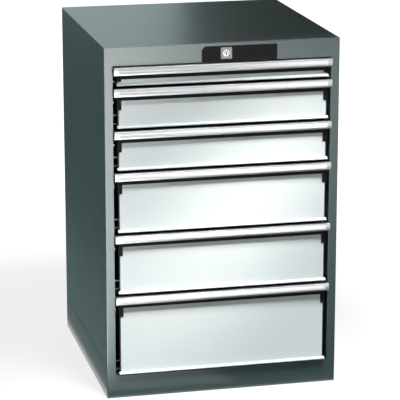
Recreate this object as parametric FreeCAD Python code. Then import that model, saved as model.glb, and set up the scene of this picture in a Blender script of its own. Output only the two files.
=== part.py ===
import FreeCAD, Part
import math
import os

# Modular drawer cabinet: sheet steel housing, six drawers on telescopic rails, central lock.
# Millimetres. X runs to the right seen from the front, Y runs from front to back, Z is up.
# The origin is the centre of the object's footprint on the floor, handles included.

# Housing
HOUSING_WIDTH = 564.0
HOUSING_DEPTH = 572.0
BASE_HEIGHT = 55.0
HEADER_HEIGHT = 45.0
HOUSING_SHEET = 1.5
POST_WIDTH = 21.0
POST_DEPTH = 18.0
REAR_FLANGE = 20.0
TOP_FLANGE = 15.0
HEADER_FLANGE = 20.0
BASE_FLANGE = 45.0
FLOOR_FLANGE_SHEET = 2.0

# Pressed line on the side walls
LINE_HEIGHT = 78.0
LINE_WIDTH = 2.4
LINE_PRESS = 0.7
LINE_START = 3.0

# Holes for fixing the base to a floor
FIXING_RADIUS = 5.5
FIXING_SPACING_X = 440.0
FIXING_INSET_Y = 25.0
ACCESS_RADIUS = 14.0

# Drawer fronts, as numbers of slots of the guide columns, from the top drawer down
SLOT_PITCH = 25.0
DRAWER_SLOTS = (2, 4, 4, 6, 6, 8)

# Front panel of a drawer
PANEL_SHEET = 1.5
PANEL_PROUD = 3.0
PANEL_SIDE_GAP = 12.0
PANEL_FOOT_GAP = 5.0
PANEL_RETURN = 13.5
LIP_HEIGHT = 6.0
LIP_REACH = 6.0
LIP_OVERHANG = 4.0

# Handle strip
HANDLE_HEIGHT = 18.0
HANDLE_REACH = 16.0
HANDLE_DROP = 2.0
HANDLE_BULGE = 2.0
HANDLE_WALL = 1.8
HANDLE_TOP_WALL = 2.0
HANDLE_BACK_WALL = 1.2
HANDLE_BACK_HEIGHT = 14.0
HANDLE_END_GAP = 0.5

# Label strip in the handle's face
LABEL_LENGTH = 500.0
LABEL_HEIGHT = 10.0
LABEL_DEPTH = 0.8
LABEL_THICKNESS = 0.7
LABEL_CLEARANCE = 0.1

# End bracket of the handle
BRACKET_INSET = 7.0
BRACKET_WIDTH = 11.0
BRACKET_DROP = 32.0
BRACKET_THICKNESS = 3.0
BRACKET_SHELF = 2.0
BRACKET_PLUG_LENGTH = 9.0
BRACKET_PLUG_DEPTH = 6.0

# Black strip between the end brackets
GRIP_STRIP_DROP = 10.5
GRIP_STRIP_GAP = 0.3

# Tray of a drawer
TRAY_LENGTH = 510.0
TRAY_SHEET = 1.2
TRAY_LIFT = 10.0
TRAY_DROP = 14.0
RIM_WIDTH = 3.0
RIM_HEIGHT = 3.0

# Telescopic rails
RAIL_LIFT = 8.0
RAIL_HEIGHT = 24.0
RAIL_SHEET = 1.5
RAIL_GAP = 0.5
RUNNER_FLANGE = 9.0
RUNNER_LENGTH = 500.0
RUNNER_SETBACK = 8.0
MIDDLE_LENGTH = 500.0
MIDDLE_WIDTH = 23.3
MIDDLE_WEB = 2.0
CABINET_RAIL_FLANGE = 9.0
CABINET_RAIL_LENGTH = 510.0
RAIL_SETBACK = 22.0
MIDDLE_SETBACK = 24.0

# Guide columns and the hooks of the cabinet rails
COLUMN_WIDTH = 30.0
COLUMN_DEPTH = 22.5
COLUMN_FRONT_SETBACK = 38.0
COLUMN_REAR_SETBACK = 478.0
COLUMN_TOP_REACH = 25.0
SLOT_WIDTH = 12.0
SLOT_HEIGHT = 7.0
HOOK_CLEARANCE = 1.0
HOOK_REACH = 4.0

# Lock plate, escutcheon and cylinder on the header
LOCK_X = 6.5
LOCK_DROP = 24.5
LOCK_PLATE_LEFT = 57.5
LOCK_PLATE_RIGHT = 122.5
LOCK_PLATE_HEIGHT = 36.0
LOCK_PLATE_BELOW = 19.5
LOCK_PLATE_THICKNESS = 2.5
LOCK_PLATE_CORNER = 8.0
ESCUTCHEON_SIDE = 27.0
ESCUTCHEON_THICKNESS = 3.0
ESCUTCHEON_CORNER = 2.0
CYLINDER_RADIUS = 8.5
CYLINDER_PROUD = 1.0
CYLINDER_RUNNING_GAP = 0.05
CYLINDER_LOOSE_GAP = 0.3
KEYHOLE_WIDTH = 1.6
KEYHOLE_HEIGHT = 9.0
KEYHOLE_DEPTH = 6.0
LOCK_BODY_SIDE = 25.0
LOCK_BODY_LENGTH = 15.5

# Cam, link and bar of the central lock
CAM_GAP = 1.0
CAM_RADIUS = 9.0
CAM_THICKNESS = 2.5
LOCK_STROKE = 8.0
CAM_PIN_RADIUS = 1.5
LINK_THICKNESS = 2.5
LINK_HEIGHT = 18.0
LINK_BELOW_LOCK = 14.5
LINK_WALL = 2.5
LINK_HEAD = 6.0
PIN_GAP = 0.3
PIN_OVERHANG = 0.5
BAR_WIDTH = 14.0
BAR_THICKNESS = 4.0
BAR_INSET = 2.5
BAR_SETBACK = 10.0
BAR_FOOT = 15.0
BAR_PIN_RADIUS = 2.0
BAR_PIN_LIFT = 5.0
FINGER_RAIL_GAP = 1.5
FINGER_HEIGHT = 5.0
CATCH_DROP = 6.0
CATCH_HEIGHT = 6.0
CATCH_FINGER_GAP = 2.5
CATCH_POST_GAP = 0.8
CATCH_ARM_GAP = 1.0
CATCH_THICKNESS = 2.5
CATCH_GAP = 2.0
WINDOW_MARGIN = 1.5
GUIDE_HEIGHT = 15.0
GUIDE_GAP = 0.4
GUIDE_LIFT = 20.0

# Places worked out from the sizes above
HALF_WIDTH = HOUSING_WIDTH / 2
FRONT = (HANDLE_REACH - HOUSING_DEPTH) / 2
BACK = FRONT + HOUSING_DEPTH
DRAWER_HEIGHTS = [slots * SLOT_PITCH for slots in DRAWER_SLOTS]
HEADER_BOTTOM = BASE_HEIGHT + sum(DRAWER_HEIGHTS)
HOUSING_HEIGHT = HEADER_BOTTOM + HEADER_HEIGHT
WALL_TOP = HOUSING_HEIGHT - HOUSING_SHEET
WALL_INSIDE = HALF_WIDTH - HOUSING_SHEET
POST_INSIDE = HALF_WIDTH - POST_WIDTH
SHEET_FRONT = FRONT + HOUSING_SHEET
POST_BACK = FRONT + POST_DEPTH
PANEL_HALF = POST_INSIDE - PANEL_SIDE_GAP
PANEL_FACE = FRONT - PANEL_PROUD
PANEL_REAR = PANEL_FACE + PANEL_SHEET
HANDLE_HALF = POST_INSIDE - HANDLE_END_GAP
COLUMN_FACE = WALL_INSIDE - COLUMN_DEPTH
MIDDLE_OUTSIDE = COLUMN_FACE - RAIL_SHEET - RAIL_GAP
MIDDLE_INSIDE = MIDDLE_OUTSIDE - MIDDLE_WIDTH
TRAY_HALF = MIDDLE_INSIDE - RAIL_GAP - RAIL_SHEET
LOCK_Z = HOUSING_HEIGHT - LOCK_DROP
BAR_FRONT = FRONT + BAR_SETBACK
BAR_BACK = BAR_FRONT + BAR_THICKNESS
BAR_OUTSIDE = WALL_INSIDE - BAR_INSET
BAR_INSIDE = BAR_OUTSIDE - BAR_WIDTH
FINGER_TIP = MIDDLE_OUTSIDE + FINGER_RAIL_GAP
LOCK_BODY_BACK = SHEET_FRONT + LOCK_BODY_LENGTH
CAM_FRONT = LOCK_BODY_BACK + CAM_GAP
CAM_BACK = CAM_FRONT + CAM_THICKNESS
LINK_FRONT = CAM_BACK + CAM_GAP
LINK_BACK = LINK_FRONT + LINK_THICKNESS
PIN_BACK = LINK_BACK + PIN_OVERHANG
LINK_BOTTOM = LOCK_Z - LINK_BELOW_LOCK
BAR_PIN_X = -(BAR_INSIDE + BAR_PIN_RADIUS + PIN_OVERHANG)
BAR_PIN_Z = LINK_BOTTOM + BAR_PIN_LIFT
CAM_PIN_X = LOCK_X + LOCK_STROKE / 2
CAM_PIN_Z = LOCK_Z - LOCK_STROKE / 2


def box(x0, x1, y0, y1, z0, z1):
    """Block between two corners, given as pairs along X, Y and Z."""
    return Part.makeBox(x1 - x0, y1 - y0, z1 - z0, FreeCAD.Vector(x0, y0, z0))


def rod_x(radius, y, z, x0, x1):
    """Round rod along X."""
    return Part.makeCylinder(radius, x1 - x0, FreeCAD.Vector(x0, y, z), FreeCAD.Vector(1, 0, 0))


def rod_y(radius, x, z, y0, y1):
    """Round rod along Y."""
    return Part.makeCylinder(radius, y1 - y0, FreeCAD.Vector(x, y0, z), FreeCAD.Vector(0, 1, 0))


def rod_z(radius, x, y, z0, z1):
    """Round rod along Z."""
    return Part.makeCylinder(radius, z1 - z0, FreeCAD.Vector(x, y, z0), FreeCAD.Vector(0, 0, 1))


def mirrored(shape):
    """The same shape on the other side of the cabinet."""
    return shape.mirror(FreeCAD.Vector(0, 0, 0), FreeCAD.Vector(1, 0, 0))


def prism_x(points, x0, x1):
    """Solid along X whose section has the given (y, z) corners."""
    corners = [FreeCAD.Vector(x0, y, z) for y, z in points]
    outline = Part.makePolygon(corners + corners[:1])
    return Part.Face(outline).extrude(FreeCAD.Vector(x1 - x0, 0, 0))


def fused(shapes):
    """One solid made of overlapping or touching blocks."""
    return shapes[0].fuse(shapes[1:]).removeSplitter()


def save(name, solids):
    """Write one sub-part, which may be a group of like pieces."""
    shape = solids[0] if len(solids) == 1 else Part.makeCompound(solids)
    shape.exportStep(f"parts/{name}.step")


def handle_bottom(level, height):
    """Height of the lower edge of a drawer's handle."""
    return level + height - HANDLE_DROP - HANDLE_HEIGHT


def catch_bottom(level, height):
    """Height of the lower edge of a drawer's lock catch."""
    return handle_bottom(level, height) - CATCH_DROP - CATCH_HEIGHT


def finger_bottom(level, height):
    """Height of the lower edge of the lock finger below a drawer's catch, unlocked."""
    return catch_bottom(level, height) - CATCH_FINGER_GAP - FINGER_HEIGHT


def drawer_levels():
    """Height of the foot of each drawer's space, from the top drawer down."""
    levels = []
    top = HEADER_BOTTOM
    for height in DRAWER_HEIGHTS:
        top -= height
        levels.append(top)
    return levels


def drawers():
    """Foot and height of each drawer's space, from the top drawer down."""
    return list(zip(drawer_levels(), DRAWER_HEIGHTS))


def pressed_line():
    """Shallow groove along the right side wall."""
    section = [
        (HALF_WIDTH, LINE_HEIGHT - LINE_WIDTH / 2),
        (HALF_WIDTH, LINE_HEIGHT + LINE_WIDTH / 2),
        (HALF_WIDTH - LINE_PRESS, LINE_HEIGHT),
    ]
    corners = [FreeCAD.Vector(x, FRONT + LINE_START, z) for x, z in section]
    outline = Part.makePolygon(corners + corners[:1])
    return Part.Face(outline).extrude(FreeCAD.Vector(0, HOUSING_DEPTH, 0))


def side_wall():
    """Right wall: side sheet, front post folded like a hat, and rear flange."""
    sheets = [
        box(WALL_INSIDE, HALF_WIDTH, FRONT, BACK, 0, WALL_TOP),
        box(POST_INSIDE, HALF_WIDTH, FRONT, SHEET_FRONT, 0, WALL_TOP),
        box(POST_INSIDE, POST_INSIDE + HOUSING_SHEET, FRONT, POST_BACK, 0, WALL_TOP),
        box(HALF_WIDTH - REAR_FLANGE, HALF_WIDTH, BACK - HOUSING_SHEET, BACK, 0, WALL_TOP),
    ]
    return fused(sheets).cut(pressed_line())


def left_wall():
    """Left wall: the mirrored right one, with a window in the post for each lock finger."""
    wall = mirrored(side_wall())
    windows = []
    for level, height in drawers():
        finger = finger_bottom(level, height)
        low = finger - WINDOW_MARGIN
        high = finger + FINGER_HEIGHT + LOCK_STROKE + WINDOW_MARGIN
        left = -POST_INSIDE - HOUSING_SHEET
        windows.append(box(left, -POST_INSIDE, BAR_FRONT - WINDOW_MARGIN, POST_BACK, low, high))
    return wall.cut(windows)


def back_wall():
    """Flat sheet inside the rear flanges."""
    rear = BACK - HOUSING_SHEET
    return box(-WALL_INSIDE, WALL_INSIDE, rear - HOUSING_SHEET, rear, 0, WALL_TOP)


def top_panel():
    """Flat top with two stiffening flanges that reach down inside the side walls."""
    rear = BACK - 2 * HOUSING_SHEET
    flange = box(WALL_INSIDE - HOUSING_SHEET, WALL_INSIDE, POST_BACK, rear, WALL_TOP - TOP_FLANGE, WALL_TOP)
    plate = box(-HALF_WIDTH, HALF_WIDTH, FRONT, BACK, WALL_TOP, HOUSING_HEIGHT)
    return fused([plate, flange, mirrored(flange)])


def header_panel():
    """Front strip above the drawers, folded back at its top and bottom, with the lock's hole."""
    fold_end = FRONT + HEADER_FLANGE
    sheets = [
        box(-POST_INSIDE, POST_INSIDE, FRONT, SHEET_FRONT, HEADER_BOTTOM, WALL_TOP),
        box(-POST_INSIDE, POST_INSIDE, FRONT, fold_end, HEADER_BOTTOM, HEADER_BOTTOM + HOUSING_SHEET),
        box(-POST_INSIDE, POST_INSIDE, FRONT, fold_end, WALL_TOP - HOUSING_SHEET, WALL_TOP),
    ]
    hole = rod_y(CYLINDER_RADIUS + 2 * CYLINDER_LOOSE_GAP, LOCK_X, LOCK_Z, FRONT, SHEET_FRONT)
    return fused(sheets).cut(hole)


def base_pan():
    """Floor of the housing, folded down into a front and a rear strip with flanges on the floor.

    Each fixing hole in the flanges has a wider hole above it, through which its bolt is reached.
    """
    rear = BACK - 2 * HOUSING_SHEET
    plate_bottom = BASE_HEIGHT - HOUSING_SHEET
    sheets = [
        box(-POST_INSIDE, POST_INSIDE, FRONT, rear, plate_bottom, BASE_HEIGHT),
        box(-WALL_INSIDE, WALL_INSIDE, POST_BACK, rear, plate_bottom, BASE_HEIGHT),
        box(-POST_INSIDE, POST_INSIDE, FRONT, SHEET_FRONT, 0, BASE_HEIGHT),
        box(-POST_INSIDE, POST_INSIDE, rear - HOUSING_SHEET, rear, 0, BASE_HEIGHT),
        box(-POST_INSIDE, POST_INSIDE, FRONT, FRONT + BASE_FLANGE, 0, FLOOR_FLANGE_SHEET),
        box(-POST_INSIDE, POST_INSIDE, rear - BASE_FLANGE, rear, 0, FLOOR_FLANGE_SHEET),
    ]
    holes = []
    for x in (-FIXING_SPACING_X / 2, FIXING_SPACING_X / 2):
        for y in (FRONT + FIXING_INSET_Y, rear - FIXING_INSET_Y):
            holes.append(rod_z(FIXING_RADIUS, x, y, 0, FLOOR_FLANGE_SHEET))
            holes.append(rod_z(ACCESS_RADIUS, x, y, plate_bottom, BASE_HEIGHT))
    return fused(sheets).cut(holes)


def guide_column(setback):
    """Slotted upright on the right wall: a channel whose web faces the drawers."""
    near = FRONT + setback
    far = near + COLUMN_WIDTH
    top = HEADER_BOTTOM + COLUMN_TOP_REACH
    sheets = [
        box(COLUMN_FACE, COLUMN_FACE + HOUSING_SHEET, near, far, BASE_HEIGHT, top),
        box(COLUMN_FACE, WALL_INSIDE, near, near + HOUSING_SHEET, BASE_HEIGHT, top),
        box(COLUMN_FACE, WALL_INSIDE, far - HOUSING_SHEET, far, BASE_HEIGHT, top),
    ]
    middle = (near + far) / 2
    slots = []
    for number in range(sum(DRAWER_SLOTS)):
        z = BASE_HEIGHT + (number + 0.5) * SLOT_PITCH
        low, high = z - SLOT_HEIGHT / 2, z + SLOT_HEIGHT / 2
        left, right = middle - SLOT_WIDTH / 2, middle + SLOT_WIDTH / 2
        slots.append(box(COLUMN_FACE, COLUMN_FACE + HOUSING_SHEET, left, right, low, high))
    return fused(sheets).cut(slots)


def cabinet_rail(level):
    """Fixed rail on the right: a channel open to the drawer, with a hook in each column."""
    low = level + RAIL_LIFT
    high = low + RAIL_HEIGHT
    near = FRONT + RAIL_SETBACK
    far = near + CABINET_RAIL_LENGTH
    inside = COLUMN_FACE - CABINET_RAIL_FLANGE
    blocks = [
        box(COLUMN_FACE - RAIL_SHEET, COLUMN_FACE, near, far, low, high),
        box(inside, COLUMN_FACE, near, far, low, low + RAIL_SHEET),
        box(inside, COLUMN_FACE, near, far, high - RAIL_SHEET, high),
    ]
    hook_z = level + SLOT_PITCH / 2
    half_height = SLOT_HEIGHT / 2 - HOOK_CLEARANCE
    half_width = SLOT_WIDTH / 2 - HOOK_CLEARANCE
    for setback in (COLUMN_FRONT_SETBACK, COLUMN_REAR_SETBACK):
        y = FRONT + setback + COLUMN_WIDTH / 2
        reach = COLUMN_FACE + HOOK_REACH
        blocks.append(box(COLUMN_FACE - RAIL_SHEET, reach, y - half_width, y + half_width,
                          hook_z - half_height, hook_z + half_height))
    return fused(blocks)


def middle_rail(level):
    """Telescopic rail on the right: a beam that runs in the cabinet rail and in the runner."""
    low = level + RAIL_LIFT + RAIL_SHEET + RAIL_GAP
    high = level + RAIL_LIFT + RAIL_HEIGHT - RAIL_SHEET - RAIL_GAP
    near = FRONT + MIDDLE_SETBACK
    far = near + MIDDLE_LENGTH
    web = (MIDDLE_INSIDE + MIDDLE_OUTSIDE - MIDDLE_WEB) / 2
    return fused([
        box(web, web + MIDDLE_WEB, near, far, low, high),
        box(MIDDLE_INSIDE, MIDDLE_OUTSIDE, near, far, low, low + RAIL_SHEET),
        box(MIDDLE_INSIDE, MIDDLE_OUTSIDE, near, far, high - RAIL_SHEET, high),
    ])


def runner(level):
    """Rail on the tray's right side: a channel open to the outside."""
    low = level + RAIL_LIFT
    high = low + RAIL_HEIGHT
    near = FRONT + RUNNER_SETBACK
    far = near + RUNNER_LENGTH
    outside = TRAY_HALF + RUNNER_FLANGE
    return fused([
        box(TRAY_HALF, TRAY_HALF + RAIL_SHEET, near, far, low, high),
        box(TRAY_HALF, outside, near, far, low, low + RAIL_SHEET),
        box(TRAY_HALF, outside, near, far, high - RAIL_SHEET, high),
    ])


def tray(level, height):
    """Open box welded from a floor, two sides and two ends; the sides and the rear end have a rim."""
    low = level + TRAY_LIFT
    high = level + height - TRAY_DROP
    near = PANEL_REAR + PANEL_RETURN
    far = PANEL_REAR + TRAY_LENGTH
    floor_top = low + TRAY_SHEET
    half = TRAY_HALF - TRAY_SHEET
    floor = box(-TRAY_HALF, TRAY_HALF, PANEL_REAR, far, low, floor_top)
    side = fused([
        box(half, TRAY_HALF, PANEL_REAR, far, floor_top, high),
        box(half, TRAY_HALF + RIM_WIDTH, near, far, high - RIM_HEIGHT, high),
    ])
    rear = fused([
        box(-half, half, far - TRAY_SHEET, far, floor_top, high),
        box(-half, half, far - TRAY_SHEET, far + RIM_WIDTH, high - RIM_HEIGHT, high),
    ])
    front = box(-half, half, PANEL_REAR, PANEL_REAR + TRAY_SHEET, floor_top, high)
    return [floor, side, mirrored(side), front, rear]


def bracket_drop(height):
    """How far the end bracket hangs below the handle: less on a low drawer."""
    panel_below_handle = height - HANDLE_DROP - HANDLE_HEIGHT - PANEL_FOOT_GAP
    return min(BRACKET_DROP, panel_below_handle - LIP_HEIGHT - BRACKET_THICKNESS)


def front_panel(level, height):
    """Drawer front: sheet with side returns, a folded lip and notches for the end brackets."""
    low = level + PANEL_FOOT_GAP
    high = level + height - HANDLE_DROP - HANDLE_TOP_WALL
    returns_back = PANEL_REAR + PANEL_RETURN
    side = box(PANEL_HALF - PANEL_SHEET, PANEL_HALF, PANEL_FACE, returns_back, low, high)
    lip_front = PANEL_FACE - LIP_REACH
    lip_top = low + LIP_HEIGHT
    lip_middle = low + LIP_HEIGHT / 2
    lip_section = [(PANEL_REAR, low), (lip_front, low), (lip_front, lip_middle), (PANEL_REAR, lip_top)]
    lip = prism_x(lip_section, -PANEL_HALF - LIP_OVERHANG, PANEL_HALF + LIP_OVERHANG)
    plate = box(-PANEL_HALF, PANEL_HALF, PANEL_FACE, PANEL_REAR, low, high)
    panel = fused([plate, side, mirrored(side), lip])
    bottom = handle_bottom(level, height)
    notch = box(PANEL_HALF - BRACKET_INSET, PANEL_HALF, PANEL_FACE, PANEL_REAR,
                bottom - bracket_drop(height), bottom)
    return panel.cut([notch, mirrored(notch)])


def handle_arc():
    """Radius of the handle's bulged face, and the Y of the axis that it turns about."""
    half = HANDLE_HEIGHT / 2
    radius = (half * half + HANDLE_BULGE * HANDLE_BULGE) / (2 * HANDLE_BULGE)
    return radius, FRONT - HANDLE_REACH + radius


def bulged_shell(top, outer_inset, inner_inset, low, high, half_length):
    """Part of the handle's bulged face between two depths under its surface and two heights."""
    radius, axis_y = handle_arc()
    axis_z = top - HANDLE_HEIGHT / 2
    outer = rod_x(radius - outer_inset, axis_y, axis_z, -half_length, half_length)
    inner = rod_x(radius - inner_inset, axis_y, axis_z, -half_length, half_length)
    window = box(-half_length, half_length, FRONT - HANDLE_REACH, FRONT - HANDLE_REACH / 2, low, high)
    return outer.cut(inner).common(window)


def handle(level, height):
    """Full-width grip strip: bulged face, top wall and back wall, open below for the fingers."""
    top = level + height - HANDLE_DROP
    bottom = top - HANDLE_HEIGHT
    radius, axis_y = handle_arc()
    outer = rod_x(radius, axis_y, top - HANDLE_HEIGHT / 2, -HANDLE_HALF, HANDLE_HALF)
    cap = box(-HANDLE_HALF, HANDLE_HALF, FRONT - HANDLE_REACH, FRONT, top - HANDLE_TOP_WALL, top)
    cap = cap.common(outer)
    face = bulged_shell(top, 0, HANDLE_WALL, bottom, top, HANDLE_HALF)
    back = box(-HANDLE_HALF, HANDLE_HALF, PANEL_FACE - HANDLE_BACK_WALL, PANEL_FACE,
               top - HANDLE_TOP_WALL - HANDLE_BACK_HEIGHT, top)
    middle = top - HANDLE_HEIGHT / 2
    half = LABEL_HEIGHT / 2
    groove = bulged_shell(top, -1, LABEL_DEPTH, middle - half, middle + half, HANDLE_HALF)
    return fused([cap, face, back]).cut(groove)


def label_strip(level, height):
    """Thin strip that lies in the groove of the handle's face."""
    top = level + height - HANDLE_DROP
    middle = top - HANDLE_HEIGHT / 2
    half = LABEL_HEIGHT / 2 - LABEL_CLEARANCE
    outer_inset = LABEL_DEPTH - LABEL_CLEARANCE - LABEL_THICKNESS
    inner_inset = LABEL_DEPTH - LABEL_CLEARANCE
    return bulged_shell(top, outer_inset, inner_inset, middle - half, middle + half, LABEL_LENGTH / 2)


def handle_bracket(level, height):
    """Right end bracket: a cheek in the panel's notch, a shelf and a plug inside the handle."""
    bottom = handle_bottom(level, height)
    inside = PANEL_HALF - BRACKET_INSET
    cheek_front = PANEL_REAR - BRACKET_THICKNESS
    plug_back = PANEL_FACE - HANDLE_BACK_WALL
    plug_front = plug_back - BRACKET_PLUG_DEPTH
    plug_top = bottom + HANDLE_HEIGHT - HANDLE_TOP_WALL
    plug_inside = HANDLE_HALF - BRACKET_PLUG_LENGTH
    return fused([
        box(inside, inside + BRACKET_WIDTH, cheek_front, PANEL_REAR, bottom - bracket_drop(height), bottom),
        box(inside, HANDLE_HALF, plug_front, PANEL_REAR, bottom - BRACKET_SHELF, bottom),
        box(plug_inside, HANDLE_HALF, plug_front, plug_back, bottom - BRACKET_SHELF, plug_top),
    ])


def catch_bracket(level, height):
    """Left end bracket: the mirrored right one, with an arm that carries the lock catch."""
    low = catch_bottom(level, height)
    high = low + CATCH_HEIGHT
    arm_outside = PANEL_HALF - BRACKET_INSET + BRACKET_WIDTH
    arm_inside = PANEL_HALF + CATCH_ARM_GAP
    front = BAR_BACK + CATCH_GAP
    back = front + CATCH_THICKNESS
    arm = box(-arm_outside, -arm_inside, PANEL_REAR, back, low, high)
    catch = box(-POST_INSIDE + CATCH_POST_GAP, -arm_inside, front, back, low, high)
    return fused([mirrored(handle_bracket(level, height)), arm, catch])


def grip_strip(level, height):
    """Black strip on the panel between the brackets, from under the handle's back wall down."""
    half = PANEL_HALF - BRACKET_INSET
    top = level + height - HANDLE_DROP - HANDLE_TOP_WALL - HANDLE_BACK_HEIGHT - GRIP_STRIP_GAP
    low = handle_bottom(level, height) - GRIP_STRIP_DROP
    return box(-half, half, PANEL_FACE - HANDLE_BACK_WALL, PANEL_FACE, low, top)


def lock_plate():
    """Black plate on the header, cut off at its upper left corner."""
    left = LOCK_X - LOCK_PLATE_LEFT
    right = LOCK_X + LOCK_PLATE_RIGHT
    low = LOCK_Z - LOCK_PLATE_BELOW
    high = low + LOCK_PLATE_HEIGHT
    front = FRONT - LOCK_PLATE_THICKNESS
    corners = [
        (left, low), (right, low), (right, high),
        (left + LOCK_PLATE_CORNER, high), (left, high - LOCK_PLATE_CORNER),
    ]
    points = [FreeCAD.Vector(x, front, z) for x, z in corners]
    outline = Part.makePolygon(points + points[:1])
    plate = Part.Face(outline).extrude(FreeCAD.Vector(0, LOCK_PLATE_THICKNESS, 0))
    return plate.cut(rod_y(CYLINDER_RADIUS + 2 * CYLINDER_LOOSE_GAP, LOCK_X, LOCK_Z, front, FRONT))


def escutcheon():
    """Light square frame round the cylinder."""
    half = ESCUTCHEON_SIDE / 2
    back = FRONT - LOCK_PLATE_THICKNESS
    front = back - ESCUTCHEON_THICKNESS
    block = box(LOCK_X - half, LOCK_X + half, front, back, LOCK_Z - half, LOCK_Z + half)
    along_y = [edge for edge in block.Edges if abs(edge.tangentAt(0).y) > 0.9]
    rounded = block.makeFillet(ESCUTCHEON_CORNER, along_y)
    return rounded.cut(rod_y(CYLINDER_RADIUS + CYLINDER_LOOSE_GAP, LOCK_X, LOCK_Z, front, back))


def lock_body():
    """Block behind the header that carries the cylinder."""
    half = LOCK_BODY_SIDE / 2
    block = box(LOCK_X - half, LOCK_X + half, SHEET_FRONT, LOCK_BODY_BACK, LOCK_Z - half, LOCK_Z + half)
    bore = rod_y(CYLINDER_RADIUS + CYLINDER_RUNNING_GAP, LOCK_X, LOCK_Z, SHEET_FRONT, LOCK_BODY_BACK)
    return block.cut(bore)


def lock_cylinder():
    """Barrel that the key turns, with its keyhole."""
    front = FRONT - LOCK_PLATE_THICKNESS - ESCUTCHEON_THICKNESS - CYLINDER_PROUD
    barrel = rod_y(CYLINDER_RADIUS, LOCK_X, LOCK_Z, front, CAM_FRONT)
    keyhole = box(LOCK_X - KEYHOLE_WIDTH / 2, LOCK_X + KEYHOLE_WIDTH / 2, front, front + KEYHOLE_DEPTH,
                  LOCK_Z - KEYHOLE_HEIGHT / 2, LOCK_Z + KEYHOLE_HEIGHT / 2)
    return barrel.cut(keyhole)


def lock_cam():
    """Disc on the cylinder's rear end with the pin that pushes the link."""
    disc = rod_y(CAM_RADIUS, LOCK_X, LOCK_Z, CAM_FRONT, CAM_BACK)
    pin = rod_y(CAM_PIN_RADIUS, CAM_PIN_X, CAM_PIN_Z, CAM_BACK, PIN_BACK)
    return disc.fuse(pin)


def slanted_slot():
    """Slot in the link that lifts the bar as the link moves left."""
    radius = BAR_PIN_RADIUS + PIN_GAP
    start = rod_y(radius, BAR_PIN_X, BAR_PIN_Z, LINK_FRONT, LINK_BACK)
    end = rod_y(radius, BAR_PIN_X + LOCK_STROKE, BAR_PIN_Z + LOCK_STROKE, LINK_FRONT, LINK_BACK)
    length = LOCK_STROKE * math.sqrt(2)
    run = box(BAR_PIN_X, BAR_PIN_X + length, LINK_FRONT, LINK_BACK, BAR_PIN_Z - radius, BAR_PIN_Z + radius)
    run.rotate(FreeCAD.Vector(BAR_PIN_X, 0, BAR_PIN_Z), FreeCAD.Vector(0, 1, 0), -45)
    return fused([start, run, end])


def lock_link():
    """Flat bar behind the header, from the cam to the upright lock bar."""
    left = BAR_PIN_X - BAR_PIN_RADIUS - PIN_GAP - LINK_WALL
    right = CAM_PIN_X + CAM_PIN_RADIUS + LINK_HEAD
    strip = box(left, right, LINK_FRONT, LINK_BACK, LINK_BOTTOM, LINK_BOTTOM + LINK_HEIGHT)
    half = CAM_PIN_RADIUS + PIN_GAP
    lowest = LOCK_Z - LOCK_STROKE / math.sqrt(2)
    slot = box(CAM_PIN_X - half, CAM_PIN_X + half, LINK_FRONT, LINK_BACK, lowest - half, CAM_PIN_Z + half)
    return strip.cut([slot, slanted_slot()])


def lock_bar():
    """Upright bar in the left post with the pin for the link."""
    top = BAR_PIN_Z + BAR_PIN_RADIUS + BAR_PIN_LIFT
    bar = box(-BAR_OUTSIDE, -BAR_INSIDE, BAR_FRONT, BAR_BACK, drawer_levels()[-1] + BAR_FOOT, top)
    return bar.fuse(rod_y(BAR_PIN_RADIUS, BAR_PIN_X, BAR_PIN_Z, BAR_BACK, PIN_BACK))


def lock_finger(level, height):
    """Block on the bar's edge that stands in front of a drawer's catch when the bar is lifted."""
    low = finger_bottom(level, height)
    return box(-BAR_INSIDE, -FINGER_TIP, BAR_FRONT, BAR_BACK, low, low + FINGER_HEIGHT)


def bar_guide(level):
    """Block in the left post that the lock bar slides through."""
    low = level + GUIDE_LIFT
    block = box(-WALL_INSIDE, -POST_INSIDE - HOUSING_SHEET, SHEET_FRONT, POST_BACK, low, low + GUIDE_HEIGHT)
    passage = box(-BAR_OUTSIDE - GUIDE_GAP, -BAR_INSIDE + GUIDE_GAP, BAR_FRONT - GUIDE_GAP,
                  BAR_BACK + GUIDE_GAP, low, low + GUIDE_HEIGHT)
    return block.cut(passage)


def write_housing():
    """The fixed pieces of the cabinet."""
    levels = drawer_levels()
    columns = [guide_column(COLUMN_FRONT_SETBACK), guide_column(COLUMN_REAR_SETBACK)]
    rails = [cabinet_rail(level) for level in levels]
    save("left_side_wall", [left_wall()])
    save("right_side_wall", [side_wall()])
    save("back_wall", [back_wall()])
    save("top_panel", [top_panel()])
    save("header_panel", [header_panel()])
    save("base_pan", [base_pan()])
    save("guide_columns", columns + [mirrored(column) for column in columns])
    save("left_cabinet_rails", [mirrored(rail) for rail in rails])
    save("right_cabinet_rails", rails)


def write_drawers():
    """The moving pieces of each drawer, numbered from the top."""
    for number, (level, height) in enumerate(drawers(), start=1):
        drawer = f"drawer_{number}"
        save(f"{drawer}_tray", tray(level, height))
        save(f"{drawer}_front", [front_panel(level, height)])
        save(f"{drawer}_handle", [handle(level, height)])
        save(f"{drawer}_label_strip", [label_strip(level, height)])
        left = catch_bracket(level, height)
        right = handle_bracket(level, height)
        save(f"{drawer}_handle_brackets", [left, right, grip_strip(level, height)])
        save(f"{drawer}_runners", [mirrored(runner(level)), runner(level)])
        save(f"{drawer}_middle_rails", [mirrored(middle_rail(level)), middle_rail(level)])


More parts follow.
